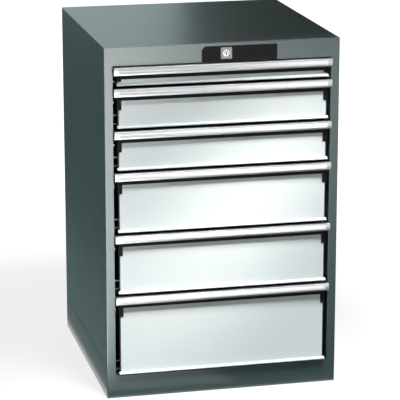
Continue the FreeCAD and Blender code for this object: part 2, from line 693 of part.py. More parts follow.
def write_lock():
    """The central lock."""
    levels = drawer_levels()
    save("lock_plate", [lock_plate()])
    save("lock_escutcheon", [escutcheon()])
    save("lock_body", [lock_body()])
    save("lock_cylinder", [lock_cylinder()])
    save("lock_cam", [lock_cam()])
    save("lock_link", [lock_link()])
    save("lock_bar", [lock_bar()])
    save("lock_fingers", [lock_finger(level, height) for level, height in drawers()])
    save("lock_bar_guides", [bar_guide(levels[1]), bar_guide(levels[-1])])


os.makedirs("parts", exist_ok=True)
write_housing()
write_drawers()
write_lock()
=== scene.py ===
import math

import bmesh
import bpy
import numpy as np
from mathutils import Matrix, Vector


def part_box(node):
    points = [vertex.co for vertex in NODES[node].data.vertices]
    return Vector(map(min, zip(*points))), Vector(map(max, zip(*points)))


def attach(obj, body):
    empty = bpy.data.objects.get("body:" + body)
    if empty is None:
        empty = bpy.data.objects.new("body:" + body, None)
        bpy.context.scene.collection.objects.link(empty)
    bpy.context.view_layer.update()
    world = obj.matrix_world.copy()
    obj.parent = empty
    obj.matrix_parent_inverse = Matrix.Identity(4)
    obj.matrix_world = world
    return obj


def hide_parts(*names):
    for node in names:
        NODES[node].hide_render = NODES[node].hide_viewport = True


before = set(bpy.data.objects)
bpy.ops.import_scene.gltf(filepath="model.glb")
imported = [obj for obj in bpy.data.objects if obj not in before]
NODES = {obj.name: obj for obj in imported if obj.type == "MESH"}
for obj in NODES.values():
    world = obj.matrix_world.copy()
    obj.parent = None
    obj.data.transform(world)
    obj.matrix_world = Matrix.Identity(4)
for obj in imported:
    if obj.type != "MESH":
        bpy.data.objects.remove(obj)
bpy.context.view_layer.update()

# Looks of the modular drawer cabinet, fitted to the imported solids.
# Metres. X runs to the right seen from the front, Y from front to back, Z up.

MM = 0.001


# Flat paths and outlines

def unit(vectors):
    """Each vector over its own length."""
    return vectors / np.linalg.norm(vectors, axis=-1, keepdims=True)


def folded(corners, radii, closed=False, steps=5):
    """Flat path through the corners, in which each bend is an arc of a circle.

    The arc's centre lies on the corner's bisector at radius / sin(half the angle), and its points
    turn evenly from one tangent point to the other: start sin((1-t)a) + end sin(ta), over sin(a).
    """
    points = np.asarray(corners, float)
    radius = np.broadcast_to(np.asarray(radii, float), len(points))
    if closed:
        before, at, after = np.roll(points, 1, 0), points, np.roll(points, -1, 0)
    else:
        before, at, after = points[:-2], points[1:-1], points[2:]
        radius = radius[1:-1]
    back, ahead = unit(before - at), unit(after - at)
    half = np.arccos(np.clip((back * ahead).sum(-1), -1, 1)) / 2
    centre = at + unit(back + ahead) * (radius / np.sin(half))[:, None]
    tangent = (radius / np.tan(half))[:, None]
    start = unit(at + back * tangent - centre)[:, None]
    end = unit(at + ahead * tangent - centre)[:, None]
    turn = (math.pi - 2 * half)[:, None, None]
    t = np.linspace(0, 1, steps + 1)[None, :, None]
    arcs = (np.sin((1 - t) * turn) * start + np.sin(t * turn) * end) / np.sin(turn)
    arcs = (centre[:, None] + radius[:, None, None] * arcs).reshape(-1, 2)
    return arcs if closed else np.vstack([points[:1], arcs, points[-1:]])


def rectangle(left, right, low, high):
    """Corners of an upright rectangle, anticlockwise."""
    return [(left, low), (right, low), (right, high), (left, high)]


def circle(x, z, radius, count=40):
    """Points x + r cos(a), z + r sin(a) at even angles."""
    angle = np.linspace(0, 2 * math.pi, count, endpoint=False)
    return np.stack([x + radius * np.cos(angle), z + radius * np.sin(angle)], -1)


def stadium(x, z, half_width, half_height, count=40):
    """Upright slot outline: a circle of the half width whose upper and lower halves are moved apart."""
    points = circle(0, 0, half_width, count)
    points[:, 1] += np.sign(np.round(points[:, 1], 9)) * (half_height - half_width)
    return points + (x, z)


# Grids and meshes

def carried(path, stations, along):
    """Grid of a flat path carried along one axis: every path point at every station."""
    grid = np.empty((len(path), len(stations), 3))
    across = [axis for axis in range(3) if axis != along]
    grid[..., across] = np.asarray(path)[:, None, :]
    grid[..., along] = stations
    return grid


def stacked(outlines, heights, along):
    """Grid of rings: outline number i stands at height i on one axis."""
    grid = np.empty((len(outlines), len(outlines[0]), 3))
    across = [axis for axis in range(3) if axis != along]
    grid[..., across] = np.asarray(outlines)
    grid[..., along] = np.asarray(heights)[:, None]
    return grid


def quads(rows, columns, wrap_rows=False, wrap_columns=False):
    """Index faces between each grid point and its next row and next column."""
    i = np.arange(rows if wrap_rows else rows - 1)[:, None]
    j = np.arange(columns if wrap_columns else columns - 1)[None, :]
    i_next, j_next = (i + 1) % rows, (j + 1) % columns
    corners = [i * columns + j, i_next * columns + j, i_next * columns + j_next, i * columns + j_next]
    return np.stack(corners, -1)


def sheet(path, stations, along, holes=()):
    """Open grid of a folded sheet, whose outer face is on the right hand of its path.

    A hole is (first, last, low, high): the quads between those path distances and stations go.
    """
    grid = carried(path, stations, along)
    faces = quads(*grid.shape[:2])
    middle = np.asarray(stations[:-1]) + np.diff(stations) / 2
    kept = np.ones(faces.shape[:2], bool)
    for first, last, low, high in holes:
        rows = (np.arange(len(path) - 1) >= first) & (np.arange(len(path) - 1) < last)
        kept &= ~(rows[:, None] & (middle > low) & (middle < high))
    faces = faces[kept]
    return grid.reshape(-1, 3), (faces[:, ::-1] if along == 1 else faces).tolist()


def bar(outline, stations, along):
    """Closed outline carried along one axis, with a flat end at each side."""
    grid = carried(outline, stations, along)
    rows, columns = grid.shape[:2]
    faces = quads(rows, columns, wrap_rows=True).reshape(-1, 4).tolist()
    ends = [list(range(0, rows * columns, columns)), list(range(columns - 1, rows * columns, columns))]
    return grid.reshape(-1, 3), faces + ends


def turned(outlines, heights, along, open_start=False):
    """Rings joined one to the next, with a flat face on the last and, unless open, on the first."""
    grid = stacked(outlines, heights, along)
    rows, columns = grid.shape[:2]
    faces = quads(rows, columns, wrap_columns=True).reshape(-1, 4).tolist()
    faces.append(list(range((rows - 1) * columns, rows * columns)))
    if not open_start:
        faces.append(list(range(columns)))
    return grid.reshape(-1, 3), faces


def inset(outline, depth):
    """Convex outline moved inwards along its own normals, found from the points on either side."""
    outline = np.asarray(outline)
    along = unit(np.roll(outline, -1, 0) - np.roll(outline, 1, 0))
    inward = np.stack([-along[:, 1], along[:, 0]], -1)
    return outline + inward * depth


def slab(outline, low, high, along, edge):
    """Plate whose far edge is a quarter circle: inset e(1 - cos a) at height h - e(1 - sin a)."""
    angle = np.linspace(0, math.pi / 2, 5)
    depths = edge * (1 - np.cos(angle))
    rise = high - np.sign(high - low) * edge * (1 - np.sin(angle))
    outlines = [outline] + [inset(outline, depth) for depth in depths]
    return turned(outlines, [low, *rise], along)


def repeated(part, places):
    """The same small part at every place, as one mesh: its points plus each place in turn."""
    points, faces = part
    places = np.asarray(places, float)
    copies = (points[None] + places[:, None]).reshape(-1, 3)
    steps = np.arange(len(places)) * len(points)
    return copies, [[corner + step for corner in face] for step in steps.tolist() for face in faces]


def joined(*parts):
    """Several parts as one mesh."""
    points, faces, count = [], [], 0
    for part_points, part_faces in parts:
        points.append(part_points)
        faces += [[corner + count for corner in face] for face in part_faces]
        count += len(part_points)
    return np.vstack(points), faces


def finish_edges(piece, width, segments=2):
    """Small rounded edges with smooth shading that keeps the flats flat."""
    if width:
        bevel = piece.modifiers.new("edges", "BEVEL")
        bevel.width = width
        bevel.segments = segments
        bevel.limit_method = "ANGLE"
        bevel.angle_limit = math.radians(35)
        bevel.use_clamp_overlap = True
    normals = piece.modifiers.new("flats", "WEIGHTED_NORMAL")
    normals.weight = 80
    normals.keep_sharp = False


def make(name, part, body, finish, edge=0.0, wall=0.0, stands_for=(), segments=2):
    """New piece from points and faces: closed parts face outwards, sheets get their wall."""
    points, faces = part
    mesh = bpy.data.meshes.new(name)
    mesh.from_pydata(points.tolist(), [], faces)
    work = bmesh.new()
    work.from_mesh(mesh)
    bmesh.ops.remove_doubles(work, verts=work.verts, dist=1e-6)
    if not wall:
        bmesh.ops.recalc_face_normals(work, faces=work.faces)
    work.to_mesh(mesh)
    work.free()
    mesh.polygons.foreach_set("use_smooth", np.ones(len(mesh.polygons), bool))
    mesh.materials.append(finish)
    piece = bpy.data.objects.new(name, mesh)
    bpy.context.scene.collection.objects.link(piece)
    if wall:
        solid = piece.modifiers.new("wall", "SOLIDIFY")
        solid.thickness = wall
        solid.offset = -1
        solid.use_even_offset = True
    finish_edges(piece, edge, segments)
    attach(piece, body)
    if stands_for:
        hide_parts(*stands_for)
    return piece


def keep(name, finish, edge=0.0):
    """Carried-over solid: a new finish and, through modifiers alone, small rounded edges."""
    node = NODES[name]
    node.data.materials.clear()
    node.data.materials.append(finish)
    if edge:
        node.modifiers.new("weld", "WELD").merge_threshold = 1e-5
        finish_edges(node, edge)


def limits(name):
    """Lowest and highest corner of a solid as numpy arrays."""
    low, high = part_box(name)
    return np.array(low), np.array(high)


# Finishes

def link_noise(nodes, links, place, scale, detail=3.0, stretch=(1, 1, 1)):
    """Noise texture on object coordinates, stretched along the axes."""
    mapping = nodes.new("ShaderNodeMapping")
    mapping.inputs["Scale"].default_value = stretch
    links.new(place.outputs["Object"], mapping.inputs["Vector"])
    noise = nodes.new("ShaderNodeTexNoise")
    noise.inputs["Scale"].default_value = scale
    noise.inputs["Detail"].default_value = detail
    links.new(mapping.outputs["Vector"], noise.inputs["Vector"])
    return noise


def link_range(nodes, links, source, low, high, start=0.3, end=0.7):
    """Value that goes from low to high as the source goes from start to end."""
    ramp = nodes.new("ShaderNodeMapRange")
    ramp.inputs["From Min"].default_value = start
    ramp.inputs["From Max"].default_value = end
    ramp.inputs["To Min"].default_value = low
    ramp.inputs["To Max"].default_value = high
    links.new(source, ramp.inputs["Value"])
    return ramp.outputs["Result"]


def link_mix(nodes, links, factor, first, second):
    """Colour that goes from the first to the second as the factor goes from 0 to 1."""
    mix = nodes.new("ShaderNodeMix")
    mix.data_type = "RGBA"
    mix.inputs[6].default_value = (*first, 1)
    if isinstance(second, tuple):
        mix.inputs[7].default_value = (*second, 1)
    else:
        links.new(second, mix.inputs[7])
    links.new(factor, mix.inputs[0])
    return mix.outputs[2]


def scaled(colour, factor):
    """Colour times a factor."""
    return tuple(channel * factor for channel in colour)


def finish_of(name, colour, roughness, metallic=0.0, coat=0.0, coat_roughness=0.1, specular=0.5, ior=1.5,
              cloud=(3.0, 0.06), grain=(900.0, 0.02), grain_stretch=(1, 1, 1), polish=0.08,
              wear=0.0, worn=(0.5, 0.5, 0.5), dust=0.0):
    """Surface with clouded colour, uneven polish, fine grain, worn edges and settled dust.

    cloud and grain are (scale, strength): the first varies the colour, the second the height.
    """
    material = bpy.data.materials.new(name)
    material.use_nodes = True
    nodes, links = material.node_tree.nodes, material.node_tree.links
    shader = nodes["Principled BSDF"]
    shader.inputs["Metallic"].default_value = metallic
    shader.inputs["Specular IOR Level"].default_value = specular
    shader.inputs["IOR"].default_value = ior
    shader.inputs["Coat Weight"].default_value = coat
    shader.inputs["Coat Roughness"].default_value = coat_roughness
    place = nodes.new("ShaderNodeTexCoord")
    clouds = link_noise(nodes, links, place, cloud[0])
    tone = link_mix(nodes, links, link_range(nodes, links, clouds.outputs["Fac"], 0, 1),
                    scaled(colour, 1 - cloud[1]), scaled(colour, 1 + cloud[1]))
    smudges = link_noise(nodes, links, place, 14.0, 5.0)
    gloss = link_range(nodes, links, smudges.outputs["Fac"], roughness - polish, roughness + polish)
    links.new(gloss, shader.inputs["Roughness"])
    if dust:
        normal = nodes.new("ShaderNodeNewGeometry")
        split = nodes.new("ShaderNodeSeparateXYZ")
        links.new(normal.outputs["Normal"], split.inputs["Vector"])
        settled = link_range(nodes, links, split.outputs["Z"], 0.0, dust, 0.6, 1.0)
        tone = link_layer(nodes, links, settled, tone, (0.55, 0.54, 0.52))
    if wear:
        tone = link_layer(nodes, links, link_edges(nodes, links, place, wear), tone, worn)
    links.new(tone, shader.inputs["Base Color"])
    grains = link_noise(nodes, links, place, grain[0], 2.0, grain_stretch)
    bump = nodes.new("ShaderNodeBump")
    bump.inputs["Strength"].default_value = grain[1]
    bump.inputs["Distance"].default_value = 0.0005
    links.new(grains.outputs["Fac"], bump.inputs["Height"])
    links.new(bump.outputs["Normal"], shader.inputs["Normal"])
    return material


def link_layer(nodes, links, factor, under, over):
    """A colour laid over another by a factor."""
    mix = nodes.new("ShaderNodeMix")
    mix.data_type = "RGBA"
    links.new(factor, mix.inputs[0])
    links.new(under, mix.inputs[6])
    mix.inputs[7].default_value = (*over, 1)
    return mix.outputs[2]


def link_edges(nodes, links, place, amount):
    """1 on edges, where the normal averaged over a small radius leaves the face's own, broken by noise."""
    rounded = nodes.new("ShaderNodeBevel")
    rounded.samples = 4
    rounded.inputs["Radius"].default_value = 0.0012
    geometry = nodes.new("ShaderNodeNewGeometry")
    dot = nodes.new("ShaderNodeVectorMath")
    dot.operation = "DOT_PRODUCT"
    links.new(rounded.outputs["Normal"], dot.inputs[0])
    links.new(geometry.outputs["Normal"], dot.inputs[1])
    edge = link_range(nodes, links, dot.outputs["Value"], 1.0, 0.0, 0.75, 0.97)
    chips = link_noise(nodes, links, place, 60.0, 6.0)
    broken = link_range(nodes, links, chips.outputs["Fac"], 0.0, amount, 0.52, 0.68)
    both = nodes.new("ShaderNodeMath")
    both.operation = "MULTIPLY"
    links.new(edge, both.inputs[0])
    links.new(broken, both.inputs[1])
    return both.outputs["Value"]


HOUSING_PAINT = finish_of("housing_paint", (0.025, 0.052, 0.052), 0.4, coat=1.0, coat_roughness=0.25, ior=1.7,
                          cloud=(2.5, 0.03), grain=(700, 0.04), polish=0.015, wear=0.5,
                          worn=(0.3, 0.33, 0.33), dust=0.02)
COLUMN_PAINT = finish_of("column_paint", (0.05, 0.06, 0.06), 0.5, wear=0.4, worn=(0.3, 0.3, 0.3))
DRAWER_PAINT = finish_of("drawer_paint", (0.59, 0.66, 0.66), 0.2,
                         cloud=(3.0, 0.012), grain=(800, 0.03), polish=0.03, wear=0.25,
                         worn=(0.8, 0.82, 0.82))
TRAY_PAINT = finish_of("tray_paint", (0.22, 0.245, 0.243), 0.42, cloud=(4.0, 0.04), grain=(800, 0.05),
                       wear=0.4, worn=(0.4, 0.4, 0.4), dust=0.1)
ALUMINIUM = finish_of("handle_aluminium", (0.62, 0.63, 0.64), 0.4, metallic=1.0, cloud=(6.0, 0.02),
                      grain=(120, 0.004), grain_stretch=(0.02, 8, 8), polish=0.03)
LABEL_PAPER = finish_of("label_paper", (0.84, 0.85, 0.85), 0.5, coat=1.0, coat_roughness=0.05,
                        cloud=(20.0, 0.015), grain=(1500, 0.03))
# Black plastic of the handle brackets and of the strip between them. The strip is partly a plastic backing and partly
# painted shade: a black piece standing for the dark gap under each handle.
BLACK_PLASTIC_AND_PAINTED_SHADE = finish_of("black_plastic_and_painted_shade", (0.006, 0.0065, 0.0065), 0.6, specular=0.08, cloud=(9.0, 0.15),
                          grain=(1600, 0.12), wear=0.3, worn=(0.05, 0.05, 0.05))
PLATE_PLASTIC = finish_of("plate_plastic", (0.008, 0.008, 0.009), 0.5, specular=0.12, cloud=(9.0, 0.15),
                          grain=(1400, 0.06))
ESCUTCHEON_PLASTIC = finish_of("escutcheon_plastic", (0.55, 0.56, 0.56), 0.35, specular=0.3, cloud=(12.0, 0.03),
                               grain=(1400, 0.05))
RAIL_STEEL = finish_of("rail_steel", (0.13, 0.133, 0.136), 0.38, metallic=0.9, cloud=(30.0, 0.12),
                       grain=(300, 0.06), grain_stretch=(8, 0.05, 8), polish=0.12)
CHROME = finish_of("lock_chrome", (0.45, 0.46, 0.47), 0.22, metallic=1.0, cloud=(20.0, 0.03),
                   grain=(2000, 0.02), polish=0.05)
LOCK_STEEL = finish_of("lock_steel", (0.24, 0.24, 0.235), 0.4, metallic=0.9, cloud=(40.0, 0.15),
                       grain=(500, 0.05), polish=0.12)


# Housing

POST_DEPTH = 18 * MM
RETURN_WINDOW = 8.5 * MM
WINDOW_BELOW_HANDLE = 21 * MM, 5 * MM
SHEET = 1.5 * MM
SIDE_BEND = 2.2 * MM
OPENING_BEND = 0.6 * MM
LINE_HEIGHT = 78 * MM
LINE_HALF_WIDTH = 2 * MM
LINE_DEPTH = 0.9 * MM
LINE_START = 6 * MM
DRAWERS = range(1, 7)
BEND_POINTS = 6


def side_wall(side):
    """Wall sheet folded from post return to rear flange, carried up the cabinet.

    The pressed line is a dip of depth d cos^2 across its width, on the side face alone.
    """
    name = f"{side}_side_wall"
    low, high = limits(name)
    front, back, top = low[1], high[1], high[2]
    outside, inside = (high[0], low[0]) if side == "right" else (-low[0], -high[0])
    corners = [(inside, front + POST_DEPTH), (inside, front), (outside, front), (outside, back),
               (inside + SHEET, back)]
    path = folded(corners, [0, OPENING_BEND, SIDE_BEND, SIDE_BEND, 0])
    starts = [(outside, front + LINE_START / 2), (outside, front + LINE_START)]
    path = np.insert(path, 1 + 2 * BEND_POINTS, starts, axis=0)
    path = np.insert(path, 1, (inside, front + RETURN_WINDOW), axis=0)
    windows = []
    if side == "left":
        path = path[::-1] * (-1, 1)
        last = len(path) - 1
        for number in DRAWERS:
            handle = limits(f"drawer_{number}_handle")[0][2]
            below, above = WINDOW_BELOW_HANDLE
            windows.append((last - 1, last, handle - below, handle - above))
    line = LINE_HEIGHT + np.linspace(-1, 1, 7) * LINE_HALF_WIDTH
    levels = [0, top, *line]
    for window in windows:
        levels += window[2:]
    points, faces = sheet(path, np.unique(levels), 2, windows)
    across = np.clip(np.abs(points[:, 2] - LINE_HEIGHT) / LINE_HALF_WIDTH, 0, 1)
    on_side = (np.abs(points[:, 0]) > outside - SHEET / 9) & (points[:, 1] > front + 0.6 * LINE_START)
    points[:, 0] -= np.sign(points[:, 0]) * LINE_DEPTH * np.cos(across * math.pi / 2) ** 2 * on_side
    make(name, (points, faces), "housing", HOUSING_PAINT, edge=0.2 * MM, wall=SHEET,
         stands_for=[name])


def top_panel():
    """Flat top: a rounded rectangle with a quarter-circle upper edge, and two flanges under it."""
    low, high = limits("top_panel")
    outline = folded(rectangle(low[0], high[0], low[1], high[1]), SIDE_BEND, closed=True)
    plate = slab(outline, high[2] - SHEET, high[2], 2, 1.3 * MM)
    outer = high[0] - SHEET
    flange = rectangle(outer - SHEET, outer, low[2], high[2] - SHEET)
    right = bar(flange, [low[1] + POST_DEPTH, high[1] - 2 * SHEET], 1)
    left = (right[0] * (-1, 1, 1), right[1])
    make("top_panel", joined(plate, left, right), "housing", HOUSING_PAINT,
         stands_for=["top_panel"])


def header_panel():
    """Strip above the drawers, folded back above and below, with an opening behind the lock plate."""
    low, high = limits("header_panel")
    lock_low, lock_high = limits("lock_cylinder")
    gap = 0.6 * MM
    corners = [(high[1], high[2]), (low[1], high[2]), (low[1], low[2]), (high[1], low[2])]
    path = folded(corners, [0, 0.4 * MM, OPENING_BEND, 0])
    first = 1 + BEND_POINTS
    hole = [(low[1], lock_high[2] + gap), (low[1], lock_low[2] - gap)]
    path = np.insert(path, first, hole, axis=0)
    left, right = lock_low[0] - gap, lock_high[0] + gap
    ends = low[0] - OPENING_BEND, high[0] + OPENING_BEND
    part = sheet(path, np.array([ends[0], left, right, ends[1]]), 0, [(first, first + 1, left, right)])
    make("header_panel", part, "housing", HOUSING_PAINT, wall=SHEET,
         stands_for=["header_panel"])


# Drawers

HANDLE_RADIUS = 21.25 * MM
HANDLE_WALL = 1.8 * MM
HANDLE_TOP = 2 * MM
GROOVE_PLAY = 0.05 * MM
GROOVE_DEPTH = 0.45 * MM
BRACKET_INSET = 7 * MM
LIP_HEIGHT = 6 * MM
TRAY_SHEET = 1.2 * MM
RIM = 3 * MM
SLOT_PITCH = 17 * MM
SLOT_WIDTH = 2.6 * MM
SLOT_MARGIN = 7 * MM


def on_face(z, middle, axis, depth):
    """Y of the handle's bulged face at each height: axis - sqrt((r - depth)^2 - (z - middle)^2)."""
    return axis - np.sqrt((HANDLE_RADIUS - depth) ** 2 - (z - middle) ** 2)


def arc_run(start, end, middle, axis, depth, count):
    """Points of the bulged face between two heights."""
    z = np.linspace(start, end, count)
    return np.stack([on_face(z, middle, axis, depth), z], -1)


def handle(number):
    """Grip strip: bulged face with a label groove, top wall and back wall, carried along X."""
    name = f"drawer_{number}_handle"
    low, high = limits(name)
    middle, axis = (low[2] + high[2]) / 2, low[1] + HANDLE_RADIUS
    label_low, label_high = limits(f"drawer_{number}_label_strip")
    groove_low, groove_high = label_low[2] - GROOVE_PLAY, label_high[2] + GROOVE_PLAY
    panel = limits(f"drawer_{number}_front")[0][1] + LIP_HEIGHT
    wall_front, wall_foot = panel - 1.2 * MM, high[2] - 16 * MM
    under_top = high[2] - HANDLE_TOP
    outline = np.vstack([
        arc_run(low[2], groove_low, middle, axis, 0, 7),
        arc_run(groove_low, groove_high, middle, axis, GROOVE_DEPTH, 12),
        arc_run(groove_high, high[2], middle, axis, 0, 7),
        [(high[1], high[2]), (high[1], under_top), (panel, under_top), (panel, wall_foot),
         (wall_front, wall_foot), (wall_front, under_top)],
        arc_run(under_top, low[2], middle, axis, HANDLE_WALL, 14),
    ])
    make(name, bar(outline, [low[0], high[0]], 0), f"drawer_{number}", ALUMINIUM,
         edge=0.15 * MM, stands_for=[name])


def label_strip(number):
    """Strip in the groove: the bulged face between two depths, with its ends cut square."""
    name = f"drawer_{number}_label_strip"
    low, high = limits(name)
    handle_low, handle_high = limits(f"drawer_{number}_handle")
    middle, axis = (handle_low[2] + handle_high[2]) / 2, handle_low[1] + HANDLE_RADIUS
    outline = np.vstack([
        arc_run(low[2], high[2], middle, axis, 0.05 * MM, 12),
        arc_run(high[2], low[2], middle, axis, GROOVE_DEPTH, 12),
    ])
    make(name, bar(outline, [low[0], high[0]], 0), f"drawer_{number}", LABEL_PAPER,
         edge=0.08 * MM, stands_for=[name])


def front_panel(number):
    """Front sheet folded back at both sides and notched for the brackets, over a drawn lip."""
    name = f"drawer_{number}_front"
    low, high = limits(name)
    face = low[1] + LIP_HEIGHT
    half = high[0] - 4 * MM
    brackets = limits(f"drawer_{number}_handle_brackets")[0]
    handle_low = limits(f"drawer_{number}_handle")[0]
    path = folded([(-half, high[1]), (-half, face), (half, face), (half, high[1])], 2 * MM)
    first = 1 + BEND_POINTS
    path = np.insert(path, first, [(-half + BRACKET_INSET, face), (half - BRACKET_INSET, face)], axis=0)
    last = len(path) - 1
    notches = [(1, first, brackets[2], handle_low[2]), (first + 1, last - 1, brackets[2], handle_low[2])]
    stations = np.array([low[2], brackets[2], handle_low[2], high[2]])
    panel = sheet(path, stations, 2, notches)
    make(name, panel, f"drawer_{number}", DRAWER_PAINT, edge=0.2 * MM, wall=SHEET,
         stands_for=[name])
    nose = folded([(face + 0.4 * MM, low[2]), (low[1], low[2]), (low[1], low[2] + LIP_HEIGHT / 2),
                   (face + 0.4 * MM, low[2] + LIP_HEIGHT)],
                  [0.05 * MM, 1 * MM, 1.2 * MM, 0.05 * MM], closed=True)
    make(f"drawer_{number}_lip", bar(nose, [low[0], high[0]], 0), f"drawer_{number}", DRAWER_PAINT,
         edge=0.3 * MM)


def slots_between(start, end):
    """Pairs of slot edges at an even pitch, centred between two ends."""
    count = int((end - start - 2 * SLOT_MARGIN) / SLOT_PITCH)
    middles = (start + end) / 2 + (np.arange(count + 1) - count / 2) * SLOT_PITCH
    return np.stack([middles - SLOT_WIDTH / 2, middles + SLOT_WIDTH / 2], -1)


def tray(number):
    """Floor and sides as one folded sheet with turned-over rims, and two ends, all with divider slots."""
    name = f"drawer_{number}_tray"
    low, high = limits(name)
    half = high[0] - RIM
    rear = high[1] - RIM
    near, top, foot = low[1], high[2] - TRAY_SHEET, low[2]
    hem = half + RIM - TRAY_SHEET
    slot_low, slot_high = foot + SLOT_MARGIN, high[2] - SLOT_MARGIN
    corners = [(-hem, high[2] - RIM), (-hem, top), (-half, top), (-half, slot_high), (-half, slot_low),
               (-half, foot), (half, foot), (half, slot_low), (half, slot_high), (half, top), (hem, top),
               (hem, high[2] - RIM)]
    path = np.array(corners)
    pairs = slots_between(near, rear)
    holes = []
    for start, end in pairs:
        holes += [(3, 4, start, end), (7, 8, start, end)]
    floor = sheet(path, np.array([near, *pairs.ravel(), rear]), 1, holes)
    make(name, floor, f"drawer_{number}", TRAY_PAINT, edge=0.2 * MM, wall=TRAY_SHEET,
         stands_for=[name])
    inner = half - TRAY_SHEET
    across = slots_between(-inner, inner)
    stations = np.array([-inner, *across.ravel(), inner])
    holes = [(1, 2, start, end) for start, end in across]
    back_path = [(rear, foot + TRAY_SHEET), (rear, slot_low), (rear, slot_high), (rear, top),
                 (rear + RIM - TRAY_SHEET, top), (rear + RIM - TRAY_SHEET, high[2] - RIM)]
    front_path = [(near, high[2]), (near, slot_high), (near, slot_low), (near, foot + TRAY_SHEET)]
    ends = joined(sheet(np.array(back_path), stations, 0, holes),
                  sheet(np.array(front_path), stations, 0, holes))
    make(f"drawer_{number}_tray_ends", ends, f"drawer_{number}", TRAY_PAINT,
         edge=0.2 * MM, wall=TRAY_SHEET)


# Lock

def lock_plate():
    """Black plate with one corner cut off and a quarter-circle edge all round."""
    low, high = limits("lock_plate")
    corner = 8 * MM
    corners = [(low[0], low[2]), (high[0], low[2]), (high[0], high[2]), (low[0] + corner, high[2]),
               (low[0], high[2] - corner)]
    outline = folded(corners, 1 * MM, closed=True)
    make("lock_plate", slab(outline, high[1], low[1], 1, 0.7 * MM), "housing", PLATE_PLASTIC,
         stands_for=["lock_plate"])


def lock_escutcheon():
    """Square frame closed on itself: out over its front edge, in to the bore and back to the plate.

    The bore's points are the outline's own directions from the middle times the bore's radius.
    """
    low, high = limits("lock_escutcheon")
    middle = np.array([low[0] + high[0], low[2] + high[2]]) / 2
    outline = folded(rectangle(low[0], high[0], low[2], high[2]), 2.5 * MM, closed=True, steps=8)
    toward = unit(outline - middle)
    bore = middle + toward * 8.8 * MM
    dish = middle + toward * 10.2 * MM
    rings = [outline, outline, inset(outline, 0.3 * MM), inset(outline, 1 * MM), dish, bore, bore]
    front = low[1]
    depths = [high[1], front + 1 * MM, front + 0.3 * MM, front, front, front + 0.8 * MM, high[1]]
    grid = stacked(rings, depths, 1)
    faces = quads(*grid.shape[:2], wrap_rows=True, wrap_columns=True).reshape(-1, 4).tolist()
    make("lock_escutcheon", (grid.reshape(-1, 3), faces), "housing", ESCUTCHEON_PLASTIC,
         stands_for=["lock_escutcheon"])


def lock_cylinder():
    """Barrel of rings that step in to a turned face, and on into the keyhole."""
    low, high = limits("lock_cylinder")
    x, z = (low[0] + high[0]) / 2, (low[2] + high[2]) / 2
    front = low[1]
    radii = np.array([8.5, 8.5, 8.2, 7.9, 6.6, 6.4, 5.9, 5.7]) * MM
    depths = np.array([24.5, 0.5, 0.1, 0, 0, 0.35, 0.35, 0]) * MM
    rings = [circle(x, z, radius) for radius in radii]
    slots = [stadium(x, z, 1.1 * MM, 4.8 * MM), stadium(x, z, 0.8 * MM, 4.5 * MM),
             stadium(x, z, 0.8 * MM, 4.5 * MM)]
    heights = [*(front + depths), front, front + 0.3 * MM, front + 6 * MM]
    make("lock_cylinder", turned(rings + slots, heights, 1), "lock_cylinder", CHROME,
         edge=0.1 * MM, stands_for=["lock_cylinder"])


# Stage, lamps and camera

def background_rays(nodes, links):
    """1 for rays that show the background: from the camera, off gloss and through glass."""
    path = nodes.new("ShaderNodeLightPath")
    either = nodes.new("ShaderNodeMath")
    either.operation = "MAXIMUM"
    links.new(path.outputs["Is Camera Ray"], either.inputs[0])
    links.new(path.outputs["Is Glossy Ray"], either.inputs[1])
    seen = nodes.new("ShaderNodeMath")
    seen.operation = "MAXIMUM"
    links.new(either.outputs["Value"], seen.inputs[0])
    links.new(path.outputs["Is Transmission Ray"], seen.inputs[1])
    return seen.outputs["Value"]


def stage_plane(name, corners, material):
    """Flat four-cornered piece of the stage."""
    mesh = bpy.data.meshes.new(name)
    mesh.from_pydata(corners, [], [(0, 1, 2, 3)])
    mesh.materials.append(material)
    plane = bpy.data.objects.new(name, mesh)
    bpy.context.scene.collection.objects.link(plane)
    return plane


def floor():
    """Plain pale floor, 16 m square, lifted to white away from the object where the background shows.

    The lift goes from NEAR_LIFT to 1 as the distance from the middle goes from 0.7 m to 2.0 m.
    """
    material = bpy.data.materials.new("floor")
    material.use_nodes = True
    nodes, links = material.node_tree.nodes, material.node_tree.links
    shader = nodes["Principled BSDF"]
    shader.inputs["Base Color"].default_value = (0.14, 0.14, 0.14, 1)
    shader.inputs["Roughness"].default_value = 0.9
    shader.inputs["Specular IOR Level"].default_value = 0.0
    shader.inputs["Emission Color"].default_value = (1, 1, 1, 1)
    place = nodes.new("ShaderNodeTexCoord")
    distance = nodes.new("ShaderNodeVectorMath")
    distance.operation = "LENGTH"
    links.new(place.outputs["Object"], distance.inputs[0])
    rise = link_range(nodes, links, distance.outputs["Value"], NEAR_LIFT, 1.0, 0.7, 2.0)
    lift = nodes.new("ShaderNodeMath")
    lift.operation = "MULTIPLY"
    links.new(rise, lift.inputs[1])
    links.new(background_rays(nodes, links), lift.inputs[0])
    links.new(lift.outputs["Value"], shader.inputs["Emission Strength"])
    half = 8.0
    stage_plane("floor", [(-half, -half, 0), (half, -half, 0), (half, half, 0), (-half, half, 0)], material)


def card(name, corners, brightness, red=0.96):
    """Reflector card or black flag, which only gloss on the object shows."""
    material = bpy.data.materials.new(name)
    material.use_nodes = True
    shader = material.node_tree.nodes["Principled BSDF"]
    shader.inputs["Base Color"].default_value = (0, 0, 0, 1)
    shader.inputs["Specular IOR Level"].default_value = 0.0
    shader.inputs["Emission Color"].default_value = (red, 1, 1, 1)
    shader.inputs["Emission Strength"].default_value = brightness
    plane = stage_plane(name, corners, material)
    plane.visible_camera = False
    plane.visible_diffuse = False
    plane.visible_transmission = False
    plane.visible_shadow = False


